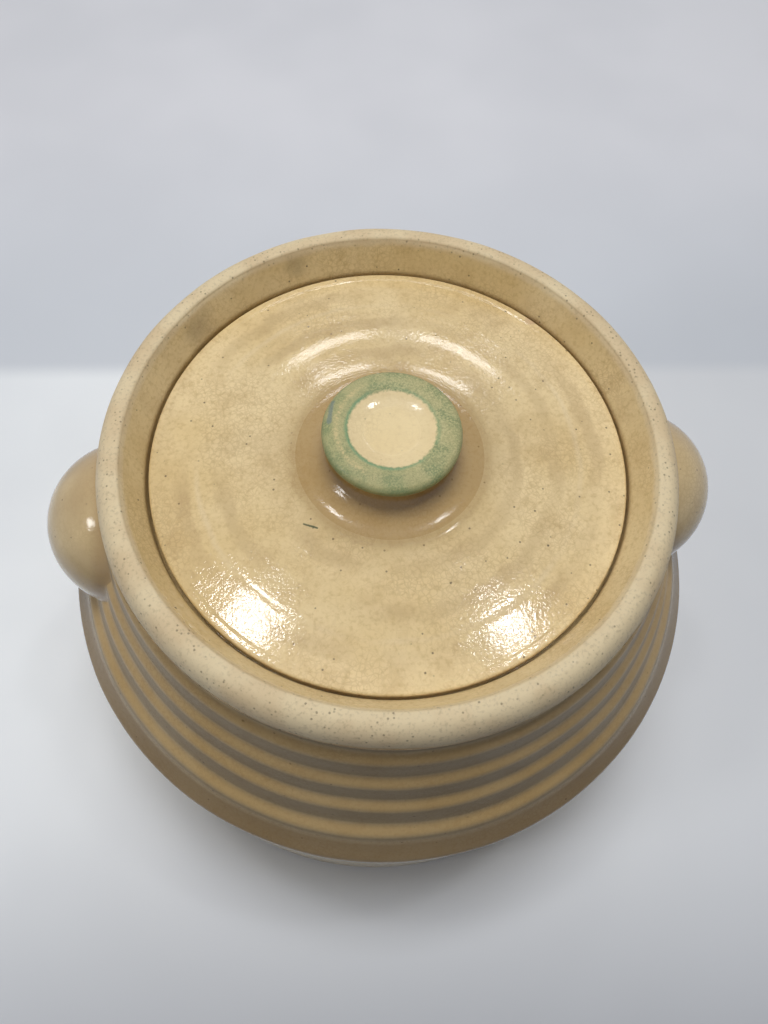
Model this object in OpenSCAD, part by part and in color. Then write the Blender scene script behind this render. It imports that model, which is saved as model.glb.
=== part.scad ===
/* [Jar] */
// Widest diameter of the jar, at the edge under the ringed shoulder
body_d = 230; // [222:1:240]
// Height from the table to the top of the rim
body_h = 166; // [155:1:180]
// Height of the edge where the ringed shoulder meets the upright lower wall
belly_h = 91; // [84:1:98]
// Radius of that edge
belly_round = 4; // [2:0.5:8]
// Thickness of the lower wall and the floor
wall_t = 7.5; // [6:0.5:9]
// How far the lower wall leans in on its way down to the foot
foot_tuck = 1.5; // [0.5:0.5:4]
// Radius of the outer edge of the foot
foot_round = 4; // [2:0.5:6]
// Width of the flat ring that the jar stands on
foot_ring_w = 14; // [10:1:20]
// Depth of the recess inside that ring
foot_recess = 2; // [1:0.5:3]

/* [Shoulder rings] */
// Number of thrown rings between the rim and the widest part
ring_count = 4; // [3:1:5]
// Height from one ring to the next
ring_pitch = 13.3; // [12:0.1:14]
// Height of the rings above and below the mean line of the shoulder
ring_wave = 0.9; // [0.5:0.1:1.2]

/* [Rim and lid seat] */
// Thickness of the rim at the top of the mouth
rim_t = 7.5; // [6.5:0.5:8.5]
// Radius of the rim's upper outer edge
rim_round = 3.5; // [2:0.5:4]
// Height of the plain collar below the top of the rim
collar_h = 11; // [9:0.5:13]
// Depth of the groove under the collar
groove_d = 1.2; // [0.6:0.1:1.6]
// Height of the groove under the collar
groove_h = 2.6; // [2:0.2:3.4]
// Depth of the lid's edge below the top of the rim
lid_recess = 11.5; // [9:0.5:14]
// Width of the ledge that carries the lid
ledge_w = 6.5; // [5:0.5:8]
// Thickness of the ledge at its inner edge
ledge_t = 5; // [4:0.5:7]
// Flare of the mouth, from the lid's edge to the rim, on each side
mouth_flare = 5; // [3:0.5:6]
// Space between the lid's edge and the mouth at the ledge
lid_gap = 0.9; // [0.6:0.1:1.5]

/* [Lid] */
// Diameter of the lid
lid_d = 150; // [146:1:154]
// Thickness of the lid at its edge
lid_t = 6; // [5:0.5:8]
// Radius of the lid's rounded edge
lid_round = 1; // [0.8:0.1:2.5]
// Rise of the lid from its edge to the foot of the knob
lid_rise = 4.5; // [3:0.5:6]
// Height of the faint throwing rings on the lid
lid_wave = 0.2; // [0.1:0.05:0.6]
// Distance from one throwing ring on the lid to the next
lid_ring_pitch = 13; // [10:0.5:16]

/* [Knob] */
// Largest diameter of the knob
knob_d = 42.5; // [39:0.5:46]
// Height of the knob above the lid
knob_h = 14.5; // [13:0.5:20]
// Diameter of the neck under the knob
neck_d = 36; // [30:0.5:38]
// Radius of the sweep from the neck out to the lid
neck_fillet = 9; // [4:0.5:10]
// Radius of the knob's rolled rim
knob_roll = 2.6; // [2:0.1:4]
// Height of the knob's crown above its rolled rim
knob_crown = 0.6; // [0.4:0.1:2]
// Diameter of the dished top
dish_d = 27; // [22:0.5:30]
// Depth of the dished top
dish_depth = 3; // [2:0.5:4]

/* [Lug handles] */
// Radius of each ball-shaped lug
lug_r = 28.5; // [26:0.5:31]
// Depth of the lug's centre below the top of the rim
lug_drop = 45; // [42:0.5:48]
// Height of the lug that is left below its centre
lug_sole = 8; // [6:0.5:12]
// Radius of the lug's lower edge
lug_edge = 4; // [2:0.5:5]

/* [Hidden] */
$fn = 96;

cream_glaze = "#dcc495";
green_glaze = "#9aa274";

// Points on each arc, the shoulder outside and inside, the lid's top and the dish
arc_steps = 8;
shoulder_steps = 45;
inside_steps = 12;
lid_steps = 40;
dish_steps = 8;

// Mouth: the ledge carries the lid, the seat stands upright beside it, and the mouth widens from there
lid_r = lid_d / 2;
ledge_z = body_h - lid_recess - lid_t;
seat_r = lid_r + lid_gap;
ledge_r = seat_r - ledge_w;
mouth_r = seat_r + mouth_flare;
mouth_round = 2.5;

// Shoulder: it starts in the groove under the collar and flares more the lower it gets
collar_r = mouth_r + rim_t;
shoulder_r = collar_r - groove_d / 2;
shoulder_z = body_h - collar_h - groove_h / 2;
groove_turn = -60;
straight_share = 0.8;
flare_power = 5;

// The edge is an arc from the slope at the foot of the flare to the upright wall
body_r = body_d / 2;
flare_slope = (straight_share + (1 - straight_share) * flare_power)
    * (body_r - shoulder_r) / (shoulder_z - belly_h);
edge_turn = atan(flare_slope);
flare_r = body_r - belly_round * (1 - cos(edge_turn));
flare_z = belly_h + belly_round * sin(edge_turn);

// Foot and floor
foot_r = body_r - foot_tuck;
floor_z = foot_recess + wall_t;
floor_round = 12;
cut_over = 1;

// Share of the shoulder that the ledge's sloping underside takes up, inside the jar
ledge_share = 0.35;

// Lid: it rises more the nearer it gets to the knob, and has a flat land for it
lid_power = 1.2;
lid_edge_z = ledge_z + lid_t;
land_z = lid_edge_z + lid_rise;
land_margin = 2.5;
neck_r = neck_d / 2;
land_r = neck_r + neck_fillet + land_margin;

// Knob: a rolled rim from under_turn to crown_turn, and a small round at the dish
knob_r = knob_d / 2;
knob_top_z = land_z + knob_h;
dish_r = dish_d / 2;
dish_round = 1;
under_turn = -60;
crown_turn = 70;

// Lugs: their outermost point stands level with the jar's widest diameter
lug_x = body_r - lug_r;
lug_z = body_h - lug_drop;

// Points along an arc about (x, y), from angle a to angle b
function arc(x, y, r, a, b) = [
    for (i = [0 : arc_steps]) let (t = a + (b - a) * i / arc_steps) [x + r * cos(t), y + r * sin(t)]
];

// Mean radius and height of the shoulder at a share s of the way down from the collar
function flare(s) = shoulder_r
    + (flare_r - shoulder_r) * (straight_share * s + (1 - straight_share) * pow(s, flare_power));
function flare_height(s) = shoulder_z + (flare_z - shoulder_z) * s;

// Height of a ring's wave at a depth below the collar, and none under the lowest ring
function ring(depth) = depth < ring_count * ring_pitch ? -ring_wave * sin(360 * depth / ring_pitch) : 0;

// Outside of the shoulder with its rings, from the edge up to the collar
function ringed_shoulder(n) = [
    for (i = [n - 1 : -1 : 0]) let (s = i / n, z = flare_height(s))
        [flare(s) + ring(shoulder_z - z), z]
];

// Inside of the shoulder, a plain flare one wall thickness in
function plain_shoulder(n) = [
    for (i = [n : -1 : 0]) let (s = ledge_share + (1 - ledge_share) * i / n)
        [flare(s) - wall_t - ring_wave, flare_height(s)]
];

// Top of the lid from its round edge in to the land, with faint rings that fade at both ends
function lid_top(n) = [
    for (i = [1 : n]) let (
        s = i / n,
        r = lid_r - lid_round - (lid_r - lid_round - land_r) * s,
        ring = lid_wave * sin(180 * s) * cos(360 * (r - land_r) / lid_ring_pitch)
    ) [r, lid_edge_z + lid_rise * pow(s, lid_power) + ring]
];

// Dished top of the knob, from its round in to the middle
function dish(n) = [
    for (i = [1 : n]) let (s = 1 - i / n)
        [dish_r * s, knob_top_z - dish_round - (dish_depth - dish_round) * (1 - s * s)]
];

// Outline of the jar as a full solid, right of its axis
module jar_outline() {
    polygon(concat(
        [[0, 0]],
        arc(foot_r - foot_round, foot_round, foot_round, -90, 0),
        arc(body_r - belly_round, belly_h, belly_round, 0, edge_turn),
        ringed_shoulder(shoulder_steps),
        [[shoulder_r - groove_d, shoulder_z + groove_h / 2]],
        arc(collar_r - groove_d, shoulder_z + groove_h, groove_d, groove_turn, 0),
        arc(collar_r - rim_round, body_h - rim_round, rim_round, 0, 90),
        [[0, body_h]]
    ));
}

// Space inside the jar: the room for cookies, the bore of the ledge and the mouth
module cavity_outline() {
    polygon(concat(
        [[0, floor_z]],
        arc(foot_r - wall_t - floor_round, floor_z + floor_round, floor_round, -90, 0),
        [[body_r - wall_t - ring_wave, belly_h]],
        plain_shoulder(inside_steps),
        [
            [ledge_r, ledge_z - ledge_t],
            [ledge_r, ledge_z],
            [seat_r, ledge_z],
            [seat_r, lid_edge_z]
        ],
        arc(mouth_r + mouth_round, body_h - mouth_round, mouth_round, 180, 90),
        [
            [mouth_r + mouth_round, body_h + cut_over],
            [0, body_h + cut_over]
        ]
    ));
}

module jar_solid() {
    rotate_extrude() jar_outline();
}

module jar_body() {
    color(cream_glaze) difference() {
        jar_solid();
        rotate_extrude() cavity_outline();
        translate([0, 0, -cut_over])
            cylinder(r = foot_r - foot_round - foot_ring_w, h = foot_recess + cut_over);
    }
}

// Half outline of a lug: a ball with a flat sole and a rounded lower edge, about its centre
module lug_outline() {
    edge_z = lug_edge - lug_sole;
    edge_x = sqrt(pow(lug_r - lug_edge, 2) - pow(edge_z, 2));
    intersection() {
        circle(r = lug_r);
        translate([0, edge_z]) square([lug_r, 2 * lug_r]);
    }
    translate([edge_x, edge_z]) circle(r = lug_edge);
    translate([0, -lug_sole]) square([edge_x, lug_edge]);
}

// A lug on the jar's wall, to the right for side 1 and to the left for side -1
module lug(side) {
    color(cream_glaze) difference() {
        translate([side * lug_x, 0, lug_z]) rotate_extrude() lug_outline();
        jar_solid();
    }
}

module left_lug_handle() {
    lug(-1);
}

module right_lug_handle() {
    lug(1);
}

module lid() {
    color(cream_glaze) rotate_extrude() polygon(concat(
        [[0, ledge_z]],
        arc(lid_r - lid_round, ledge_z + lid_round, lid_round, -90, 0),
        arc(lid_r - lid_round, lid_edge_z - lid_round, lid_round, 0, 90),
        lid_top(lid_steps),
        [[0, land_z]]
    ));
}

module lid_knob() {
    color(green_glaze) rotate_extrude() polygon(concat(
        [[0, land_z]],
        arc(neck_r + neck_fillet, land_z + neck_fillet, neck_fillet, -90, -180),
        arc(knob_r - knob_roll, knob_top_z - knob_crown - knob_roll, knob_roll, under_turn, crown_turn),
        arc(dish_r + dish_round, knob_top_z - dish_round, dish_round, 90, 180),
        dish(dish_steps)
    ));
}

jar_body();
left_lug_handle();
right_lug_handle();
lid();
lid_knob();
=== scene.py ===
"""Looks of a glazed stoneware cookie jar: a ringed jar, two lug handles and a lift-off lid with a knob."""

import logging
import math
from collections.abc import Callable, Sequence
from dataclasses import dataclass, replace
from enum import Enum

import bpy
from mathutils import Matrix, Vector

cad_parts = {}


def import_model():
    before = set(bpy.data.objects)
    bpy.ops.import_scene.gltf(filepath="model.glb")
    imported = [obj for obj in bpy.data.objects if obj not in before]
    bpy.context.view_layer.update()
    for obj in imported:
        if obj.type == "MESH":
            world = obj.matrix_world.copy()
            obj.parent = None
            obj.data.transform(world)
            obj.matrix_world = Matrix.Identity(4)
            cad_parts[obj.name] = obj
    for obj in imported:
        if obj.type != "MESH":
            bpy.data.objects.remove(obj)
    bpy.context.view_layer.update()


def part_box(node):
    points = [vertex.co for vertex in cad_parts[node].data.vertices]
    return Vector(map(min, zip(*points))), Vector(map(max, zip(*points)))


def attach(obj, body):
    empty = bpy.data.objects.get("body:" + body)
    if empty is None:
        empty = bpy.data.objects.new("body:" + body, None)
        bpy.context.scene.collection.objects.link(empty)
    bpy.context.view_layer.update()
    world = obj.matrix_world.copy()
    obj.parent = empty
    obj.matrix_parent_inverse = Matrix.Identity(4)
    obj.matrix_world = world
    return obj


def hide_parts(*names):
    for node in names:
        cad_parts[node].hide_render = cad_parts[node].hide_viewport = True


LOG = logging.getLogger("cookie_jar")
MM = 0.001
PICTURE_LONG_SIDE = 1024
# How far the lid's flat land lies below the foot of the CAD knob
LAND_DROP = 1 * MM
# How near two points of a spun piece lie that become one
MERGE_REACH = 0.002 * MM

Point = tuple[float, float]
Colour = tuple[float, float, float, float]
Place = tuple[float, float, float]


class Cells(Enum):
    """What a cell pattern measures at a point."""

    SPOT = "F1"
    EDGE = "DISTANCE_TO_EDGE"


def srgb(red: float, green: float, blue: float) -> Colour:
    """Turns a screen colour into the linear one that shaders use.

    Args:
        red: Red from 0 to 255.
        green: Green from 0 to 255.
        blue: Blue from 0 to 255.

    Returns:
        The linear colour with full alpha.
    """
    shares = [v / 255 for v in (red, green, blue)]
    linear = [v / 12.92 if v <= 0.04045 else ((v + 0.055) / 1.055) ** 2.4 for v in shares]
    return (linear[0], linear[1], linear[2], 1.0)


class Sock:
    """An output socket that takes part in Python maths and adds Math nodes as it goes."""

    def __init__(self, graph: "Nodes", socket: bpy.types.NodeSocket) -> None:
        """Keeps the node tree that the socket belongs to."""
        self.graph = graph
        self.socket = socket

    def __add__(self, other: "Sock | float") -> "Sock":
        """Adds."""
        return self.graph.math("ADD", self, other)

    __radd__ = __add__

    def __sub__(self, other: "Sock | float") -> "Sock":
        """Takes away."""
        return self.graph.math("SUBTRACT", self, other)

    def __rsub__(self, other: float) -> "Sock":
        """Takes this socket away from a number."""
        return self.graph.math("SUBTRACT", other, self)

    def __mul__(self, other: "Sock | float") -> "Sock":
        """Multiplies."""
        return self.graph.math("MULTIPLY", self, other)

    __rmul__ = __mul__

    def __truediv__(self, other: "Sock | float") -> "Sock":
        """Divides."""
        return self.graph.math("DIVIDE", self, other)

    def __abs__(self) -> "Sock":
        """Drops the sign."""
        return self.graph.math("ABSOLUTE", self)

    def sine(self) -> "Sock":
        """The sine of this angle, in radians."""
        return self.graph.math("SINE", self)

    def most(self, other: "Sock | float") -> "Sock":
        """The larger of two values."""
        return self.graph.math("MAXIMUM", self, other)


class Nodes:
    """A node tree that is written as Python expressions."""

    def __init__(self, tree: bpy.types.NodeTree) -> None:
        """Starts with an empty tree.

        Args:
            tree: The tree of a material or of the world.
        """
        self.tree = tree
        self.tree.nodes.clear()

    def node(self, kind: str, settings: dict | None = None, inputs: dict | None = None) -> bpy.types.Node:
        """Adds a node.

        Args:
            kind: The node's type.
            settings: Its own settings, which are set first.
            inputs: Values or links for its sockets, by name or number.

        Returns:
            The new node.
        """
        made = self.tree.nodes.new(kind)
        for key, value in (settings or {}).items():
            setattr(made, key, value)
        for key, value in (inputs or {}).items():
            if isinstance(value, Sock):
                self.tree.links.new(value.socket, made.inputs[key])
            else:
                made.inputs[key].default_value = value
        return made

    def out(self, node: bpy.types.Node, name: str | int = 0) -> Sock:
        """Wraps one output of a node."""
        return Sock(self, node.outputs[name])

    def math(self, operation: str, *values: "Sock | float") -> Sock:
        """Adds a Math node on one, two or three values."""
        return self.out(self.node("ShaderNodeMath", {"operation": operation}, dict(enumerate(values))))

    def vector(self, operation: str, inputs: dict) -> bpy.types.Node:
        """Adds a Vector Math node."""
        return self.node("ShaderNodeVectorMath", {"operation": operation}, inputs)

    def step(self, value: Sock, low: float, high: float) -> Sock:
        """Rises smoothly from 0 at the low value to 1 at the high one."""
        inputs = {"Value": value, "From Min": low, "From Max": high}
        return self.out(self.node("ShaderNodeMapRange", {"interpolation_type": "SMOOTHSTEP"}, inputs))

    def fade(self, value: Sock, low: float, high: float) -> Sock:
        """Fades smoothly from 1 at the low value to 0 at the high one."""
        return 1.0 - self.step(value, low, high)

    def band(self, value: Sock, middle: float, half: float) -> Sock:
        """Is 1 at the middle value and falls smoothly to 0 at half a width on each side."""
        return self.fade(abs(value - middle), 0.0, half)

    def blend(self, share: "Sock | float", first: "Sock | Colour", second: "Sock | Colour") -> Sock:
        """Mixes two colours by a share from 0 to 1."""
        mix = self.node("ShaderNodeMix", {"data_type": "RGBA"}, {0: share, 6: first, 7: second})
        return self.out(mix, 2)

    def lerp(self, share: Sock, first: "Sock | float", second: "Sock | float") -> Sock:
        """Mixes two numbers by a share from 0 to 1."""
        mix = self.node("ShaderNodeMix", {"data_type": "FLOAT"}, {0: share, 2: first, 3: second})
        return self.out(mix)

    def seen(self) -> Sock:
        """Tells what the camera sees, straight or by way of a mirror or glass, from stray light.

        Returns:
            1 for what it sees and 0 for stray light.
        """
        path = self.node("ShaderNodeLightPath")
        mirrored = self.out(path, "Is Glossy Ray").most(self.out(path, "Is Transmission Ray"))
        return mirrored.most(self.out(path, "Is Camera Ray"))


class Graph(Nodes):
    """The node tree of one material, with the place on the piece in metres."""

    def __init__(self, name: str) -> None:
        """Starts an empty material.

        Args:
            name: The material's name.
        """
        self.material = bpy.data.materials.new(name)
        self.material.use_nodes = True
        super().__init__(self.material.node_tree)
        self.place = self.out(self.node("ShaderNodeTexCoord"), "Object")
        parts = self.node("ShaderNodeSeparateXYZ", inputs={"Vector": self.place})
        self.x = self.out(parts, "X")
        self.y = self.out(parts, "Y")
        self.z = self.out(parts, "Z")
        self.r = self.math("SQRT", self.x * self.x + self.y * self.y)

    def noise(self, size: float, detail: float = 2.0, at: Sock | None = None) -> Sock:
        """A cloudy value from 0 to 1.

        Args:
            size: The size of a cloud in metres.
            detail: How many finer layers it has.
            at: Where to read it, if not at the place on the piece.

        Returns:
            The value, near 0.5 on average.
        """
        inputs = {"Vector": at or self.place, "Scale": 1 / size, "Detail": detail, "Roughness": 0.55}
        return self.out(self.node("ShaderNodeTexNoise", inputs=inputs), "Fac")

    def shaken(self, size: float, amount: float) -> Sock:
        """The place on the piece, shaken so that cell edges wander.

        Args:
            size: The size of the shakes in metres.
            amount: How far they go, in metres.

        Returns:
            The shaken place.
        """
        inputs = {"Vector": self.place, "Scale": 1 / size, "Detail": 1.0}
        cloud = self.out(self.node("ShaderNodeTexNoise", inputs=inputs), "Color")
        centred = self.out(self.vector("SUBTRACT", {0: cloud, 1: (0.5, 0.5, 0.5)}))
        small = self.out(self.vector("SCALE", {0: centred, "Scale": amount}))
        return self.out(self.vector("ADD", {0: self.place, 1: small}))

    def cells(self, size: float, kind: Cells, at: Sock | None = None) -> bpy.types.Node:
        """A pattern of cells.

        Args:
            size: The size of a cell in metres.
            kind: What the pattern measures.
            at: Where to read it, if not at the place on the piece.

        Returns:
            The node, whose distance is in cells.
        """
        return self.node(
            "ShaderNodeTexVoronoi", {"feature": kind.value}, {"Vector": at or self.place, "Scale": 1 / size}
        )

    def chance(self, cells: bpy.types.Node) -> Sock:
        """A random value for each cell of a pattern."""
        parts = self.node("ShaderNodeSeparateColor", inputs={"Color": self.out(cells, "Color")})
        return self.out(parts, "Red")

    def streak(self, start: Point, end: Point, half: float) -> Sock:
        """A thin mark between two spots, seen from above.

        Args:
            start: Where it starts, in x and y.
            end: Where it ends.
            half: Half its width in metres.

        Returns:
            1 on the mark, falling to 0 at its ragged edge.
        """
        run = Vector(end) - Vector(start)
        along = ((self.x - start[0]) * run.x + (self.y - start[1]) * run.y) / run.length_squared
        along = self.math("MINIMUM", along.most(0.0), 1.0)
        aside_x = self.x - start[0] - along * run.x
        aside_y = self.y - start[1] - along * run.y
        away = self.math("SQRT", aside_x * aside_x + aside_y * aside_y)
        uneven = (self.noise(half * 2, 2.0) - 0.5) * half
        return self.fade(away + uneven, half * 0.3, half)

    def near(self, spot: Place, reach: float, edge: float) -> Sock:
        """A round mark with an uneven outline.

        Args:
            spot: The middle of the mark, on the piece.
            reach: How far it reaches on average, in metres.
            edge: The width of its soft edge in metres.

        Returns:
            1 on the mark, falling to 0 over its edge.
        """
        away = self.out(self.vector("DISTANCE", {0: self.place, 1: spot}), "Value")
        uneven = (self.noise(reach, 3.0) - 0.5) * reach
        return self.fade(away + uneven, reach - edge, reach)


@dataclass(frozen=True)
class Stain:
    """A colour that a finish takes on in places, and how much of it shows there; some stand for painted
    shade and one for a painted sheen.
    """

    colour: Colour
    share: float


@dataclass(frozen=True)
class Layers:
    """What a finish gives the shader at each point of a surface, with the height in millimetres."""

    graph: Graph
    colour: Sock
    roughness: Sock
    coat: Sock | float
    height: Sock

    def over(self, share: Sock, top: "Layers") -> "Layers":
        """Lays another finish over this one.

        Args:
            share: How much of the other finish shows, from 0 to 1.
            top: The other finish.

        Returns:
            The two together.
        """
        return Layers(
            self.graph,
            self.graph.blend(share, self.colour, top.colour),
            self.graph.lerp(share, self.roughness, top.roughness),
            self.graph.lerp(share, self.coat, top.coat),
            self.graph.lerp(share, self.height, top.height),
        )

    def stained(self, where: Sock, stain: Stain) -> "Layers":
        """The same finish with a stain in its colour where a value from 0 to 1 says, also used for painted
        shade.
        """
        return replace(self, colour=self.graph.blend(where * stain.share, self.colour, stain.colour))

    def dulled(self, where: Sock, more: float) -> "Layers":
        """The same finish, rougher and without its coat where a value from 0 to 1 says."""
        return replace(self, roughness=self.roughness + where * more, coat=self.coat * (1.0 - where))

    def shade(self, shine: float = 0.5) -> bpy.types.Material:
        """Closes the material with a ceramic shader.

        Args:
            shine: How much the surface mirrors, 0.5 for clean glaze.

        Returns:
            The finished material.
        """
        graph = self.graph
        bump = graph.node("ShaderNodeBump", inputs={"Strength": 1.0, "Distance": MM, "Height": self.height})
        inputs = {
            "Base Color": self.colour,
            "Roughness": self.roughness,
            "Coat Weight": self.coat,
            "Normal": graph.out(bump),
            "IOR": 1.5,
            "Specular IOR Level": shine,
            "Coat Roughness": 0.05,
            "Coat IOR": 1.5,
        }
        shader = graph.node("ShaderNodeBsdfPrincipled", inputs=inputs)
        graph.node("ShaderNodeOutputMaterial", inputs={"Surface": graph.out(shader)})
        return graph.material


@dataclass(frozen=True)
class CreamGlaze:
    """Cream-yellow glaze: cloudy, mottled, finely crazed and peppered with iron specks."""

    cream: Colour = srgb(230, 207, 159)
    honey: Colour = srgb(219, 193, 140)
    tan: Colour = srgb(172, 138, 84)
    crack: Colour = srgb(138, 100, 52)
    speck: Colour = srgb(58, 46, 34)
    cloud_size: float = 42 * MM
    mottle_size: float = 9 * MM
    grain_size: float = 1.3 * MM
    wide_cell: float = 3.8 * MM
    fine_cell: float = 1.8 * MM
    shake_size: float = 1.6 * MM
    shake: float = 1.0 * MM
    crazed_patch: float = 24 * MM
    speck_cell: float = 3.6 * MM
    spot_cell: float = 9.0 * MM
    speck_cluster: float = 22 * MM
    grain_share: float = 0.28
    mottle_share: float = 0.20
    crack_share: float = 0.23
    speck_share: float = 0.85
    dimple_size: float = 0.85 * MM
    ripple_size: float = 3.4 * MM
    gloss: float = 0.13
    coat: float = 0.12

    def crazing(self, graph: Graph) -> Sock:
        """The net of fine cracks, stronger in patches.

        Args:
            graph: The material's node tree.

        Returns:
            Up to 1 on a crack, and 0 between cracks.
        """
        wandering = graph.shaken(self.shake_size, self.shake)
        wide = graph.out(graph.cells(self.wide_cell, Cells.EDGE, wandering), "Distance")
        fine = graph.out(graph.cells(self.fine_cell, Cells.EDGE, wandering), "Distance")
        patches = graph.step(graph.noise(self.crazed_patch, 2.0), 0.40, 0.64)
        lines = graph.fade(wide, 0.0, 0.06) * 0.8
        net = graph.fade(fine, 0.0, 0.13) * (0.30 + 0.6 * patches)
        return lines.most(net) * (0.40 + 0.60 * patches)

    def specks(self, graph: Graph) -> Sock:
        """Iron specks: fine pepper in clusters and a few larger spots.

        Args:
            graph: The material's node tree.

        Returns:
            Up to 1 on a speck, and 0 between specks.
        """
        pepper = graph.cells(self.speck_cell, Cells.SPOT)
        spots = graph.cells(self.spot_cell, Cells.SPOT)
        clusters = graph.noise(self.speck_cluster, 1.0)
        few = graph.step(graph.chance(pepper) + clusters * 0.6, 0.78, 0.95)
        fine = graph.fade(graph.out(pepper, "Distance"), 0.055, 0.125) * few
        large = graph.fade(graph.out(spots, "Distance"), 0.028, 0.062)
        return (fine * 0.85).most(large * graph.step(graph.chance(spots), 0.35, 0.45))

    def lay(self, graph: Graph) -> Layers:
        """Builds the glaze's nodes.

        Args:
            graph: The material's node tree.

        Returns:
            The glaze's layers.
        """
        cloud = graph.noise(self.cloud_size, 2.0)
        mottle = graph.noise(self.mottle_size, 5.0)
        grain = graph.noise(self.grain_size, 3.0)
        cracks = self.crazing(graph)
        specks = self.specks(graph)
        colour = graph.blend(graph.step(cloud, 0.36, 0.68), self.cream, self.honey)
        colour = graph.blend(graph.step(mottle, 0.46, 0.74) * self.mottle_share, colour, self.tan)
        colour = graph.blend(graph.step(grain, 0.46, 0.72) * self.grain_share, colour, self.tan)
        colour = graph.blend(cracks * self.crack_share, colour, self.crack)
        colour = graph.blend(specks * self.speck_share, colour, self.speck)
        dimples = graph.noise(self.dimple_size, 2.0)
        ripple = graph.noise(self.ripple_size, 2.0) * 0.045 + dimples * 0.036
        height = ripple + mottle * 0.03 - cracks * 0.003 - specks * 0.012
        roughness = self.gloss + (mottle - 0.5) * 0.10 + (dimples - 0.5) * 0.14 + cracks * 0.05
        return Layers(graph, colour, roughness, self.coat * (1.0 - specks), height)


@dataclass(frozen=True)
class DryRim:
    """Thin dry glaze on the wiped rim: pale, pinkish and peppered."""

    pale: Colour = srgb(224, 206, 170)
    pink: Colour = srgb(214, 192, 155)
    grey: Colour = srgb(160, 143, 114)
    pepper: Colour = srgb(92, 78, 62)
    cloud_size: float = 16 * MM
    grain_size: float = 1.0 * MM
    dust_cell: float = 1.5 * MM
    dust_cluster: float = 8 * MM

    def lay(self, graph: Graph) -> Layers:
        """Builds the rim's nodes.

        Args:
            graph: The material's node tree.

        Returns:
            The rim's layers.
        """
        cloud = graph.noise(self.cloud_size, 3.0)
        grain = graph.noise(self.grain_size, 3.0)
        dust = graph.cells(self.dust_cell, Cells.SPOT)
        few = graph.step(graph.chance(dust) + graph.noise(self.dust_cluster, 2.0), 1.05, 1.35)
        pepper = graph.fade(graph.out(dust, "Distance"), 0.12, 0.30) * few
        colour = graph.blend(graph.step(cloud, 0.38, 0.66), self.pale, self.pink)
        colour = graph.blend(graph.step(grain, 0.48, 0.76) * 0.40, colour, self.grey)
        colour = graph.blend(pepper * 0.6, colour, self.pepper)
        roughness = 0.6 + (grain - 0.5) * 0.2
        height = grain * 0.05 + cloud * 0.08 - pepper * 0.02
        return Layers(graph, colour, roughness, cloud * 0.04, height)


@dataclass(frozen=True)
class BareClay:
    """Unglazed buff stoneware, as under the foot and under the lid."""

    buff: Colour = srgb(205, 178, 140)
    dark: Colour = srgb(170, 138, 100)
    grit_size: float = 0.8 * MM
    cloud_size: float = 20 * MM

    def lay(self, graph: Graph) -> Layers:
        """Builds the clay's nodes.

        Args:
            graph: The material's node tree.

        Returns:
            The clay's layers.
        """
        grit = graph.noise(self.grit_size, 4.0)
        cloud = graph.noise(self.cloud_size, 2.0)
        colour = graph.blend(graph.step(cloud, 0.3, 0.7) * 0.6, self.buff, self.dark)
        colour = graph.blend(graph.step(grit, 0.5, 0.75) * 0.4, colour, self.dark)
        return Layers(graph, colour, 0.82 + (grit - 0.5) * 0.15, 0.0, grit * 0.12)


@dataclass(frozen=True)
class SpongedGreen:
    """Green glaze dabbed on with a sponge, over cream."""

    green: Colour = srgb(138, 146, 102)
    sage: Colour = srgb(172, 167, 120)
    deep: Colour = srgb(96, 104, 68)
    dab_size: float = 0.6 * MM
    patch_size: float = 7 * MM
    pore_size: float = 0.4 * MM

    def lay(self, graph: Graph, cream: Layers) -> Layers:
        """Builds the green's nodes.

        Args:
            graph: The material's node tree.
            cream: The glaze under it, which shows between the dabs.

        Returns:
            The green's layers, less glossy than the cream.
        """
        dab = graph.noise(self.dab_size, 3.0)
        patch = graph.noise(self.patch_size, 2.0)
        pores = graph.noise(self.pore_size, 2.0)
        colour = graph.blend(graph.step(patch, 0.38, 0.64), self.green, self.sage)
        colour = graph.blend(graph.step(dab, 0.46, 0.66) * 0.5, colour, self.sage)
        colour = graph.blend(graph.step(pores, 0.50, 0.70) * 0.42, colour, self.deep)
        return Layers(graph, colour, cream.roughness + 0.32, cream.coat * 0.1, cream.height + dab * 0.06)


def deselect() -> None:
    """Leaves edit mode and selects nothing."""
    if bpy.context.object and bpy.context.object.mode != "OBJECT":
        bpy.ops.object.mode_set(mode="OBJECT")
    bpy.ops.object.select_all(action="DESELECT")


def take(piece: bpy.types.Object) -> None:
    """Makes a piece the one that operators act on.

    Args:
        piece: The piece.
    """
    deselect()
    piece.select_set(True)
    bpy.context.view_layer.objects.active = piece


def name_piece(piece: bpy.types.Object, name: str) -> bpy.types.Object:
    """Names a piece and its mesh.

    Args:
        piece: The piece.
        name: The name for both.

    Returns:
        The same piece.
    """
    piece.name = name
    piece.data.name = name
    return piece


def pick(piece: bpy.types.Object, test: Callable[[Vector], bool]) -> list[int]:
    """The numbers of the vertices that pass a test on their place."""
    return [v.index for v in piece.data.vertices if test(v.co)]


def select_points(piece: bpy.types.Object, test: Callable[[Vector], bool]) -> None:
    """Selects the vertices that pass a test on their place, and what lies between them, in edit mode.

    Args:
        piece: The piece, active and in object mode.
        test: What a vertex's place has to pass.
    """
    bpy.ops.object.mode_set(mode="EDIT")
    bpy.ops.mesh.select_mode(type="VERT")
    bpy.ops.mesh.select_all(action="DESELECT")
    bpy.ops.object.mode_set(mode="OBJECT")
    for index in pick(piece, test):
        piece.data.vertices[index].select = True
    bpy.ops.object.mode_set(mode="EDIT")


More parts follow.
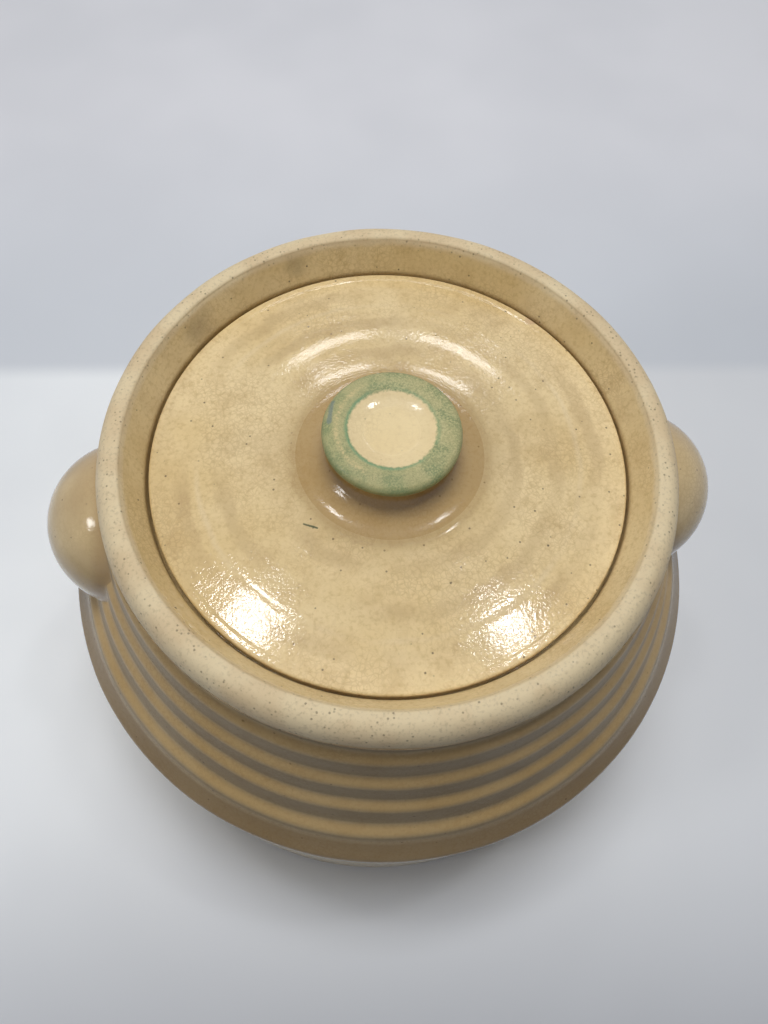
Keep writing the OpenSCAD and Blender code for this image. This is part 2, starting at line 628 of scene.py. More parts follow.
def apply_modifier(piece: bpy.types.Object, kind: str, **settings: object) -> None:
    """Adds a modifier with its settings and applies it.

    Args:
        piece: The piece that it changes.
        kind: The modifier's type.
        **settings: The modifier's own settings.
    """
    take(piece)
    modifier = piece.modifiers.new(kind.lower(), kind)
    for key, value in settings.items():
        setattr(modifier, key, value)
    bpy.ops.object.modifier_apply(modifier=modifier.name)


def smooth(piece: bpy.types.Object, angle: float = 40.0) -> None:
    """Shades a piece smooth except at edges sharper than an angle in degrees."""
    take(piece)
    bpy.ops.object.shade_smooth_by_angle(angle=math.radians(angle))


def paint(piece: bpy.types.Object, material: bpy.types.Material) -> None:
    """Gives a piece one material."""
    piece.data.materials.clear()
    piece.data.materials.append(material)


def throw_on_wheel(name: str, outline: Sequence[Point], steps: int) -> bpy.types.Object:
    """Spins a half outline about the upright axis into one closed piece.

    Args:
        name: The piece's name.
        outline: Radius and height of each point, from the axis back to the axis.
        steps: The number of faces round the piece.

    Returns:
        The piece, with its normals outwards.
    """
    deselect()
    radius, height = outline[0]
    bpy.ops.mesh.primitive_plane_add(size=MM, location=(radius, 0.0, height))
    piece = name_piece(bpy.context.object, name)
    bpy.ops.object.transform_apply(location=True, rotation=True, scale=True)
    bpy.ops.object.mode_set(mode="EDIT")
    bpy.ops.mesh.select_all(action="SELECT")
    bpy.ops.mesh.merge(type="CENTER")
    for before, after in zip(outline, outline[1:]):
        move = (after[0] - before[0], 0.0, after[1] - before[1])
        bpy.ops.mesh.extrude_region_move(TRANSFORM_OT_translate={"value": move})
    bpy.ops.mesh.select_all(action="SELECT")
    bpy.ops.mesh.spin(steps=steps, angle=math.tau, center=(0.0, 0.0, 0.0), axis=(0.0, 0.0, 1.0))
    bpy.ops.mesh.select_all(action="SELECT")
    bpy.ops.mesh.remove_doubles(threshold=MERGE_REACH)
    bpy.ops.mesh.normals_make_consistent(inside=False)
    bpy.ops.object.mode_set(mode="OBJECT")
    return piece


def waver(piece: bpy.types.Object, test: Callable[[Vector], bool], size: float, strength: float) -> None:
    """Gives part of a piece the slight unevenness of hand work, as hollows below its true surface.

    Args:
        piece: The piece to change.
        test: Which vertices may move, by their place.
        size: The size of the hollows in metres.
        strength: The depth of the deepest hollow, in metres.
    """
    group = piece.vertex_groups.new(name="uneven")
    group.add(pick(piece, test), 1.0, "REPLACE")
    clouds = bpy.data.textures.new(f"{piece.name}_swell", "CLOUDS")
    clouds.noise_scale = size
    clouds.noise_depth = 1
    apply_modifier(
        piece,
        "DISPLACE",
        texture=clouds,
        texture_coords="LOCAL",
        strength=strength,
        mid_level=1.0,
        vertex_group=group.name,
    )
    piece.vertex_groups.remove(piece.vertex_groups["uneven"])


def ease(value: float, low: float, high: float) -> float:
    """Rises smoothly from 0 at the low value to 1 at the high one."""
    share = min(1.0, max(0.0, (value - low) / (high - low)))
    return share * share * (3 - 2 * share)


def arc(middle: Point, radius: float, start: float, end: float, steps: int) -> list[Point]:
    """Points along an arc.

    Args:
        middle: The centre's radius and height.
        radius: The arc's own radius.
        start: The first angle in degrees.
        end: The last angle in degrees.
        steps: The number of parts.

    Returns:
        The points, both ends included.
    """
    turns = [math.radians(start + (end - start) * i / steps) for i in range(steps + 1)]
    return [(middle[0] + radius * math.cos(t), middle[1] + radius * math.sin(t)) for t in turns]


def straight(start: Point, end: Point, parts: int) -> list[Point]:
    """Points that cut a straight line into equal parts, without its ends."""
    run, rise = end[0] - start[0], end[1] - start[1]
    return [(start[0] + run * i / parts, start[1] + rise * i / parts) for i in range(1, parts)]


def corner(before: Point, at: Point, after: Point, radius: float, steps: int = 5) -> list[Point]:
    """Rounds one corner of an outline.

    Args:
        before: The point before the corner.
        at: The corner.
        after: The point after it.
        radius: How far the round reaches along each side.
        steps: The number of parts.

    Returns:
        The points of the round.
    """
    a, b, c = Vector(before), Vector(at), Vector(after)
    first = b + (a - b).normalized() * radius
    last = b + (c - b).normalized() * radius
    points = []
    for i in range(steps + 1):
        t = i / steps
        spot = first * (1 - t) ** 2 + b * 2 * t * (1 - t) + last * t**2
        points.append((spot.x, spot.y))
    return points


@dataclass
class Jar:
    """The thrown jar: foot, upright wall, ringed shoulder, collar, mouth with its ledge, and its inside."""

    radius: float
    height: float
    lid_radius: float
    ledge_height: float
    lid_edge_height: float
    belly_height: float = 91 * MM
    belly_round: float = 4 * MM
    wall: float = 7.5 * MM
    foot_tuck: float = 1.5 * MM
    foot_round: float = 4 * MM
    foot_ring: float = 14 * MM
    foot_recess: float = 2 * MM
    recess_corner: float = 0.8 * MM
    ring_corner: float = 0.6 * MM
    ring_count: int = 4
    ring_pitch: float = 13.3 * MM
    ring_wave: float = 0.9 * MM
    step_wave: float = 0.6 * MM
    step_start: float = 0.50
    step_share: float = 0.24
    ring_fade: float = 5 * MM
    rim: float = 7.5 * MM
    rim_out: float = 1.3 * MM
    rim_wide: float = 6.1 * MM
    rim_deep: float = 8.6 * MM
    collar: float = 11 * MM
    groove_depth: float = 1.2 * MM
    groove_height: float = 2.6 * MM
    groove_corner: float = 0.9 * MM
    ledge_width: float = 6.5 * MM
    ledge: float = 5 * MM
    mouth_flare: float = 5 * MM
    mouth_round: float = 1.3 * MM
    lid_gap: float = 0.9 * MM
    brim_corner: float = 1.2 * MM
    seat_corner: float = 0.7 * MM
    nose_corner: float = 1.0 * MM
    under_corner: float = 1.2 * MM
    floor_round: float = 12 * MM
    straight_share: float = 0.8
    flare_power: int = 5
    ledge_share: float = 0.35
    wall_parts: int = 20
    shoulder_parts: int = 96
    inner_parts: int = 24
    faces_round: int = 192
    even_foot: float = 6 * MM
    even_inside: float = 12 * MM
    wall_swell: float = 34 * MM
    wall_hollow: float = 0.5 * MM
    rim_swell: float = 22 * MM
    rim_hollow: float = 0.35 * MM
    wander_size: float = 6 * MM
    wander: float = 1.6 * MM
    shine: float = 0.28
    dulling: float = 0.24
    # The shoulder's ring and low band stains are partly the glaze's own colour and partly painted shade
    groove_pool_and_shade: Stain = Stain(srgb(110, 88, 58), 0.73)
    ring_honey_and_shade: Stain = Stain(srgb(162, 128, 76), 0.64)
    belly_band_and_shade: Stain = Stain(srgb(118, 92, 56), 0.80)
    # Painted shade in the mouth by the gap round the lid
    gap_shade_brown: Stain = Stain(srgb(160, 124, 72), 0.22)
    # Painted shade on the mouth wall beside the lid, and the spots where it lies
    wall_shade_beside_lid: Stain = Stain(srgb(120, 104, 84), 0.35)
    wall_shade_spots: tuple[tuple[Place, float], ...] = (
        ((-60 * MM, 52 * MM, 159 * MM), 9 * MM),
        ((-26 * MM, 76 * MM, 160.5 * MM), 7 * MM),
    )

    def __post_init__(self) -> None:
        """Works out the sizes that follow from the others."""
        self.seat = self.lid_radius + self.lid_gap
        self.bore = self.seat - self.ledge_width
        self.mouth = self.seat + self.mouth_flare
        self.collar_radius = self.mouth + self.rim
        self.shoulder_radius = self.collar_radius - self.groove_depth / 2
        self.shoulder_height = self.height - self.collar - self.groove_height / 2
        drop = self.shoulder_height - self.belly_height
        slope = self.straight_share + (1 - self.straight_share) * self.flare_power
        self.edge_turn = math.atan(slope * (self.radius - self.shoulder_radius) / drop)
        self.flare_radius = self.radius - self.belly_round * (1 - math.cos(self.edge_turn))
        self.flare_height = self.belly_height + self.belly_round * math.sin(self.edge_turn)
        self.foot = self.radius - self.foot_tuck
        self.floor = self.foot_recess + self.wall

    def shoulder(self, share: float) -> Point:
        """The mean line of the shoulder, without its rings.

        Args:
            share: The share of the way down from the collar to the widest edge.

        Returns:
            The radius and the height there.
        """
        bend = self.straight_share * share + (1 - self.straight_share) * share**self.flare_power
        radius = self.shoulder_radius + (self.flare_radius - self.shoulder_radius) * bend
        return (radius, self.shoulder_height + (self.flare_height - self.shoulder_height) * share)

    def shoulder_at(self, height: float) -> float:
        """Mean radius of the shoulder at a height."""
        share = (self.shoulder_height - height) / (self.shoulder_height - self.flare_height)
        return self.shoulder(min(1.0, max(0.0, share)))[0]

    def ringed(self, share: float) -> Point:
        """The shoulder with its thrown rings: steep walls with a narrow sloping step between.

        Args:
            share: The share of the way down from the collar to the widest edge.

        Returns:
            The radius and the height there.
        """
        radius, height = self.shoulder(share)
        depth = self.shoulder_height - height
        last = (self.ring_count - 1 + self.step_start + self.step_share) * self.ring_pitch
        turn = (depth / self.ring_pitch - self.step_start) % 1.0
        if depth > last:
            wave = 1 - ease(depth, last, last + self.ring_fade)
        elif turn < self.step_share:
            wave = 2 * ease(turn, 0.0, self.step_share) - 1
        else:
            wave = 1 - 2 * ease(turn, self.step_share, 1.0)
        return (radius + self.step_wave * wave, height)

    def outside(self) -> list[Point]:
        """The outline from under the foot up to the top of the rim.

        Returns:
            Its points in that order.
        """
        recess = self.foot - self.foot_round - self.foot_ring
        low = (recess, 0.0)
        high = (recess, self.foot_recess)
        points = [(0.0, self.foot_recess), (recess / 2, self.foot_recess)]
        points += corner((0.0, self.foot_recess), high, low, self.recess_corner)
        points += corner(high, low, (self.foot, 0.0), self.ring_corner)
        points += arc((self.foot - self.foot_round, self.foot_round), self.foot_round, -90, 0, 8)
        points += straight((self.foot, self.foot_round), (self.radius, self.belly_height), self.wall_parts)
        edge = math.degrees(self.edge_turn)
        points += arc((self.radius - self.belly_round, self.belly_height), self.belly_round, 0, edge, 8)
        parts = self.shoulder_parts
        points += [self.ringed(i / parts) for i in range(parts - 1, 0, -1)]
        neck = (self.shoulder_radius - self.groove_depth, self.shoulder_height + self.groove_height / 2)
        lip = (self.collar_radius + self.rim_out, self.shoulder_height + self.groove_height)
        points += corner(self.ringed(1 / parts), neck, lip, self.groove_corner)
        side = (lip[0], self.height - self.rim_deep)
        points += corner(neck, lip, side, self.groove_corner)
        points += straight(lip, side, 4)[1:]
        for across, up in arc((0.0, 0.0), 1.0, 0, 90, 20):
            points.append((side[0] + (across - 1) * self.rim_wide, side[1] + up * self.rim_deep))
        return points

    def inside(self) -> list[Point]:
        """The outline from the top of the rim down the mouth and under the ledge to the floor.

        Returns:
            Its points in that order.
        """
        brink = (self.mouth + self.mouth_round, self.height - self.mouth_round)
        points = arc(brink, self.mouth_round, 90, 180, 8)
        top = points[-1]
        brim = (self.seat, self.lid_edge_height)
        seat = (self.seat, self.ledge_height)
        nose = (self.bore, self.ledge_height)
        under = (self.bore, self.ledge_height - self.ledge)
        shell = []
        for i in range(0, self.inner_parts + 1):
            share = self.ledge_share + (1 - self.ledge_share) * i / self.inner_parts
            radius, height = self.shoulder(share)
            shell.append((radius - self.wall - self.ring_wave, height))
        belly = (self.radius - self.wall - self.ring_wave, self.belly_height)
        low = (self.foot - self.wall, self.floor + self.floor_round)
        points += straight(top, brim, 8)[:-1]
        points += corner(top, brim, seat, self.brim_corner)
        points += corner(brim, seat, nose, self.seat_corner)
        points += corner(seat, nose, under, self.nose_corner)
        points += corner(nose, under, shell[0], self.under_corner)
        points += shell + [belly] + straight(belly, low, 12)
        middle = low[0] - self.floor_round
        points += arc((middle, low[1]), self.floor_round, 0, -90, 10)
        points += [(middle * i / 8, self.floor) for i in range(7, -1, -1)]
        return points

    def build(self) -> bpy.types.Object:
        """Throws the jar and gives its walls and its rim a slight unevenness.

        Returns:
            The jar.
        """
        jar = throw_on_wheel("stoneware_jar", self.outside() + self.inside(), self.faces_round)
        top = self.height - self.collar
        far = self.bore + self.even_inside
        low = self.even_foot
        waver(jar, lambda p: low < p.z < top and p.xy.length > far, self.wall_swell, self.wall_hollow)
        waver(jar, lambda p: p.z > top and p.xy.length > self.mouth, self.rim_swell, self.rim_hollow)
        smooth(jar, 50.0)
        return jar

    def wall_radius(self, graph: Graph) -> Sock:
        """Roughly the shoulder's outer radius at a height, for a material."""
        slope = (self.radius - self.shoulder_radius) / (self.shoulder_height - self.belly_height)
        return (self.shoulder_height - graph.z) * slope + self.shoulder_radius

    def dress(self, jar: bpy.types.Object) -> None:
        """Glazes the jar: brown in the grooves and honey on the rings, both partly painted shade, a brown
        low band that is partly painted shade, painted shade in the mouth by the lid, dry on the rim and
        bare under the foot.

        Args:
            jar: The jar to dress.
        """
        graph = Graph("jar_glaze")
        glaze = CreamGlaze().lay(graph)
        wander = (graph.noise(self.wander_size, 3.0) - 0.5) * self.wander
        depth = self.shoulder_height - graph.z
        # A quarter turn back, so that the wave is highest in the middle of each step
        middle = self.step_start + self.step_share / 2 - 0.25
        wave = ((depth / self.ring_pitch - middle) * math.tau).sine()
        out = graph.step(graph.r - self.wall_radius(graph), -5 * MM, -3 * MM)
        rings = out * graph.step(depth, -1 * MM, 1 * MM)
        last = self.ring_count * self.ring_pitch
        below = graph.step(depth, last - 2 * MM, last + 2 * MM)
        rings = rings * (1.0 - below)
        step = graph.step(wave, -0.05, 1.0)
        # Brown in the grooves and honey on the steps: glaze pooled in the grooves, and painted shade that
        # darkens the ringed shoulder all round
        glaze = glaze.stained((1.0 - step) * rings, self.groove_pool_and_shade)
        glaze = glaze.stained(step * rings, self.ring_honey_and_shade)
        # Brown on the low band below the rings: partly brown glaze, partly painted shade
        edge = graph.step(graph.z, self.belly_height - 3 * MM, self.belly_height + 2 * MM)
        glaze = glaze.stained(below * out * edge, self.belly_band_and_shade)
        glaze = glaze.dulled(rings, self.dulling)
        # Painted shade in the mouth, darkest down at the ledge, by the gap round the lid
        inside = graph.fade(graph.r, self.mouth - 1.2 * MM, self.mouth + 0.3 * MM)
        inside = inside * graph.step(graph.z, self.ledge_height - 1 * MM, self.ledge_height + 1 * MM)
        gap_shade = inside * graph.fade(graph.z + wander, self.ledge_height, self.ledge_height + 9 * MM)
        glaze = glaze.stained(gap_shade, self.gap_shade_brown)
        # Painted shade on the mouth wall beside the lid, at two spots on the far left
        for spot, reach in self.wall_shade_spots:
            glaze = glaze.stained(graph.near(spot, reach, reach * 0.8), self.wall_shade_beside_lid)
        dry = graph.step(graph.r + wander * 0.5, self.mouth - 1.2 * MM, self.mouth + 0.4 * MM)
        collar = self.height - self.collar
        dry = dry * graph.step(graph.z + wander, collar - 1.2 * MM, collar + 2.0 * MM)
        layers = glaze.over(dry, DryRim().lay(graph))
        bare = graph.fade(graph.z + wander, 2.6 * MM, 3.2 * MM)
        layers = layers.over(bare, BareClay().lay(graph))
        paint(jar, layers.shade(self.shine))


@dataclass
class Lug:
    """A ball-shaped lug handle, luted to the shoulder with a small sweep of slip."""

    jar: Jar
    reach: float
    top: float
    bottom: float
    ball: float = 28.5 * MM
    edge: float = 4 * MM
    sweep: float = 0.7 * MM
    smoothing: int = 14
    segments: int = 96
    patch_turn: float = 28.0
    patch_below: float = 12 * MM
    patch_above: float = 1 * MM
    patch_inside: float = 4 * MM
    patch_sink: float = 0.25 * MM
    patch_thick: float = 4 * MM
    tan_size: float = 30 * MM
    joint_wander: float = 1.5 * MM
    joint_width: float = 4.5 * MM
    shine: float = 0.4
    tan: Stain = Stain(srgb(168, 141, 101), 0.74)
    joint_brown: Stain = Stain(srgb(158, 126, 82), 0.5)

    def __post_init__(self) -> None:
        """Places the ball by how far the lug reaches and how high it stands."""
        self.middle = Vector((self.reach - self.ball, 0.0, self.top - self.ball))

    def ball_form(self) -> bpy.types.Object:
        """A ball with a flat sole and a rounded lower edge.

        Returns:
            The ball, in its place on the right.
        """
        deselect()
        bpy.ops.mesh.primitive_uv_sphere_add(
            segments=self.segments, ring_count=self.segments // 2, radius=self.ball, location=self.middle
        )
        ball = name_piece(bpy.context.object, "lug_form")
        bpy.ops.object.transform_apply(location=True, rotation=True, scale=True)
        bpy.ops.object.mode_set(mode="EDIT")
        bpy.ops.mesh.select_all(action="SELECT")
        bpy.ops.mesh.bisect(
            plane_co=(0.0, 0.0, self.bottom), plane_no=(0.0, 0.0, 1.0), use_fill=True, clear_inner=True
        )
        bpy.ops.object.mode_set(mode="OBJECT")
        select_points(ball, lambda p: abs(p.z - self.bottom) < 0.01 * MM)
        bpy.ops.mesh.bevel(offset=self.edge, segments=6, profile=0.5, affect="EDGES")
        bpy.ops.object.mode_set(mode="OBJECT")
        return ball

    def wall_patch(self, jar: bpy.types.Object) -> bpy.types.Object:
        """A slab of the jar's shoulder under the lug, a hair below its surface.

        Args:
            jar: The finished jar.

        Returns:
            The slab.
        """
        take(jar)
        bpy.ops.object.duplicate()
        patch = name_piece(bpy.context.object, "lug_wall")

        def outer(p: Vector) -> bool:
            """Tells whether a point is on the outside of the shoulder, round the lug.

            Args:
                p: The point.

            Returns:
                True if it is.
            """
            ahead = abs(math.atan2(p.y, p.x)) < math.radians(self.patch_turn)
            level = self.bottom - self.patch_below < p.z < self.jar.shoulder_height - self.patch_above
            return ahead and level and p.xy.length > self.jar.shoulder_radius - self.patch_inside

        select_points(patch, lambda p: not outer(p))
        bpy.ops.mesh.delete(type="VERT")
        bpy.ops.mesh.select_all(action="SELECT")
        bpy.ops.transform.shrink_fatten(value=-self.patch_sink)
        bpy.ops.object.mode_set(mode="OBJECT")
        apply_modifier(patch, "SOLIDIFY", thickness=self.patch_thick, offset=-1.0)
        return patch

    def build(self, jar: bpy.types.Object) -> bpy.types.Object:
        """Lutes the ball to the wall, smooths the joint into a sweep and cuts the lug back to the jar.

        Args:
            jar: The finished jar.

        Returns:
            The right lug.
        """
        ball = self.ball_form()
        patch = self.wall_patch(jar)
        take(patch)
        ball.select_set(True)
        bpy.context.view_layer.objects.active = ball
        bpy.ops.object.join()
        lug = name_piece(bpy.context.object, "right_lug")
        apply_modifier(lug, "REMESH", mode="VOXEL", voxel_size=self.sweep)
        apply_modifier(lug, "SMOOTH", factor=0.5, iterations=self.smoothing)
        apply_modifier(lug, "BOOLEAN", object=jar, operation="DIFFERENCE", solver="EXACT")
        select_points(lug, lambda p: p.xy.length < self.jar.shoulder_at(p.z) - self.jar.wall / 2)
        bpy.ops.mesh.delete(type="VERT")
        bpy.ops.object.mode_set(mode="OBJECT")
        smooth(lug, 60.0)
        return lug

    def mirrored(self, lug: bpy.types.Object) -> bpy.types.Object:
        """Copies the lug to the other side of the jar.

        Args:
            lug: The right lug.

        Returns:
            The left lug, with its own mesh.
        """
        take(lug)
        bpy.ops.object.duplicate()
        other = name_piece(bpy.context.object, "left_lug")
        bpy.ops.object.mode_set(mode="EDIT")
        bpy.ops.mesh.select_all(action="SELECT")
        bpy.ops.transform.resize(value=(-1.0, 1.0, 1.0), center_override=(0.0, 0.0, 0.0))
        bpy.ops.mesh.normals_make_consistent(inside=False)
        bpy.ops.object.mode_set(mode="OBJECT")
        smooth(other, 60.0)
        return other

    def dress(self, lugs: Sequence[bpy.types.Object]) -> None:
        """Glazes the lugs, darker where the glaze has run into the joint.

        Args:
            lugs: Both lugs.
        """
        graph = Graph("lug_glaze")
        glaze = CreamGlaze(grain_share=0.12, mottle_share=0.1, gloss=0.08).lay(graph)
        glaze = glaze.stained(graph.step(graph.noise(self.tan_size, 2.0), 0.1, 0.7), self.tan)
        off = graph.r - self.jar.wall_radius(graph) + (graph.noise(5 * MM, 2.0) - 0.5) * self.joint_wander
        glaze = glaze.stained(graph.fade(off, 0.3 * MM, self.joint_width), self.joint_brown)
        material = glaze.shade(self.shine)
        for lug in lugs:
            paint(lug, material)


@dataclass
class Lid:
    """The shallow domed lid, with faint throwing rings and a flat land for the knob."""

    radius: float
    bottom: float
    land_height: float
    land: float
    edge: float = 1 * MM
    steep: float = 0.078
    easing: float = 1.8
    outer: float = 0.082
    outer_from: float = 57.5 * MM
    outer_to: float = 61.5 * MM
    ring_radius: float = 47 * MM
    ring_slope: float = 0.058
    ring_width: float = 2.2 * MM
    step_radius: float = 60 * MM
    step_slope: float = 0.07
    step_width: float = 1.3 * MM
    land_blend: float = 7 * MM
    stain_pitch: float = 13 * MM
    parts: int = 110
    faces_round: int = 192
    swell: float = 24 * MM
    hollow: float = 0.25 * MM
    smudge_size: float = 17 * MM
    patch_size: float = 30 * MM
    wander_size: float = 9 * MM
    wander: float = 7 * MM
    painted_sheen_half: float = 1.6 * MM
    gloss: float = 0.06
    smudge: Stain = Stain(srgb(170, 144, 104), 0.15)
    hollow_brown: Stain = Stain(srgb(176, 148, 104), 0.38)
    # Brown round the knob: pooled glaze and the knob's painted shadow
    knob_shadow_and_pool: Stain = Stain(srgb(152, 122, 70), 0.32)
    edge_brown: Stain = Stain(srgb(120, 92, 56), 0.6)
    # A painted sheen along the step
    painted_sheen: Stain = Stain(srgb(232, 216, 184), 0.22)
    fleck: Stain = Stain(srgb(66, 78, 50), 0.9)
    fleck_start: Point = (-28.0 * MM, -22.1 * MM)
    fleck_end: Point = (-24.2 * MM, -23.7 * MM)
    fleck_half: float = 0.45 * MM
    chip: Place = (54.0 * MM, 50.5 * MM, 154.0 * MM)
    chip_reach: float = 2.2 * MM
    chip_edge: float = 0.5 * MM

    def __post_init__(self) -> None:
        """Works out the lid's top, from the land out, and the height of its edge."""
        start = self.radius - self.edge
        step = (start - self.land) / self.parts
        self.fall: list[Point] = [(self.land, self.land_height)]
        for _ in range(self.parts):
            radius, height = self.fall[-1]
            self.fall.append((radius + step, height - step * self.slope(radius + step / 2)))
        self.edge_height = self.fall[-1][1]

    def slope(self, radius: float) -> float:
        """How steeply the top falls: little by the knob and at a ring, most at a step.

        Args:
            radius: How far out from the middle.

        Returns:
            The fall for each unit outwards.
        """
        inner = self.steep * ease(radius, self.land, self.land + self.land_blend)
        inner -= self.easing * max(0.0, radius - self.ring_radius)
        ring = self.ring_slope * math.exp(-(((radius - self.ring_radius) / self.ring_width) ** 2))
        step = self.step_slope * math.exp(-(((radius - self.step_radius) / self.step_width) ** 2))
        share = ease(radius, self.outer_from, self.outer_to)
        return inner * (1 - share) + self.outer * share - ring + step

    def build(self) -> bpy.types.Object:
        """Throws the lid and lets its top swell a little.

        Returns:
            The lid.
        """
        outline = [(self.radius * i / 8, self.bottom) for i in range(0, 7)]
        outline += arc((self.radius - self.edge, self.bottom + self.edge), self.edge, -90, 0, 7)
        outline += arc((self.radius - self.edge, self.edge_height - self.edge), self.edge, 0, 90, 7)
        outline += self.fall[-2::-1]
        outline += [(self.land * i / 6, self.land_height) for i in range(5, -1, -1)]
        lid = throw_on_wheel("domed_lid", outline, self.faces_round)
        outer = self.radius - 3 * MM
        top = self.edge_height - 0.5 * MM
        inner = self.land + 2 * MM
        waver(lid, lambda p: p.z > top and inner < p.xy.length < outer, self.swell, self.hollow)
        smooth(lid, 50.0)
        return lid

    def dress(self, lid: bpy.types.Object) -> None:
        """Glazes the lid: brown in its hollows and at the edge, brown by the knob with the knob's painted
        shadow, a painted sheen along the step, bare under it and at a chip.

        Args:
            lid: The lid to dress.
        """
        graph = Graph("lid_glaze")
        glaze = CreamGlaze(mottle_share=0.28, gloss=self.gloss).lay(graph)
        glaze = glaze.stained(graph.step(graph.noise(self.smudge_size, 3.0), 0.52, 0.72), self.smudge)
        wander = (graph.noise(self.wander_size, 3.0) - 0.5) * self.wander
        wave = ((graph.r + wander - self.land) * (math.tau / self.stain_pitch) + math.pi).sine()
        patches = graph.step(graph.noise(self.patch_size, 1.0), 0.35, 0.65)
        glaze = glaze.stained(graph.step(wave, 0.0, 1.0) * patches, self.hollow_brown)
        # Brown round the knob's foot: glaze pooled there and the knob's painted shadow on the lid
        wide_knob_shadow_and_pool = graph.fade(graph.r + wander * 0.5, self.land + 3 * MM, self.land + 12 * MM)
        close_knob_shadow_and_pool = graph.fade(graph.r + wander * 0.2, self.land + 0.5 * MM, self.land + 4.5 * MM)
        glaze = glaze.stained(wide_knob_shadow_and_pool * 0.7 + close_knob_shadow_and_pool, self.knob_shadow_and_pool)
        rim = graph.fade(graph.z, self.edge_height - 4 * MM, self.edge_height - 0.6 * MM)
        glaze = glaze.stained(rim, self.edge_brown)
        # A painted sheen: a pale band along the step, in patches
        painted_sheen = graph.band(graph.r + wander * 0.3, self.step_radius, self.painted_sheen_half)
        glaze = glaze.stained(painted_sheen * patches, self.painted_sheen)
        fleck = graph.streak(self.fleck_start, self.fleck_end, self.fleck_half)
        glaze = glaze.stained(fleck, self.fleck)
        clay = BareClay().lay(graph)
        under = graph.fade(graph.z, self.bottom + 0.6 * MM, self.bottom + 1.4 * MM)
        bare = graph.near(self.chip, self.chip_reach, self.chip_edge).most(under)
        paint(lid, glaze.over(bare, clay).shade())


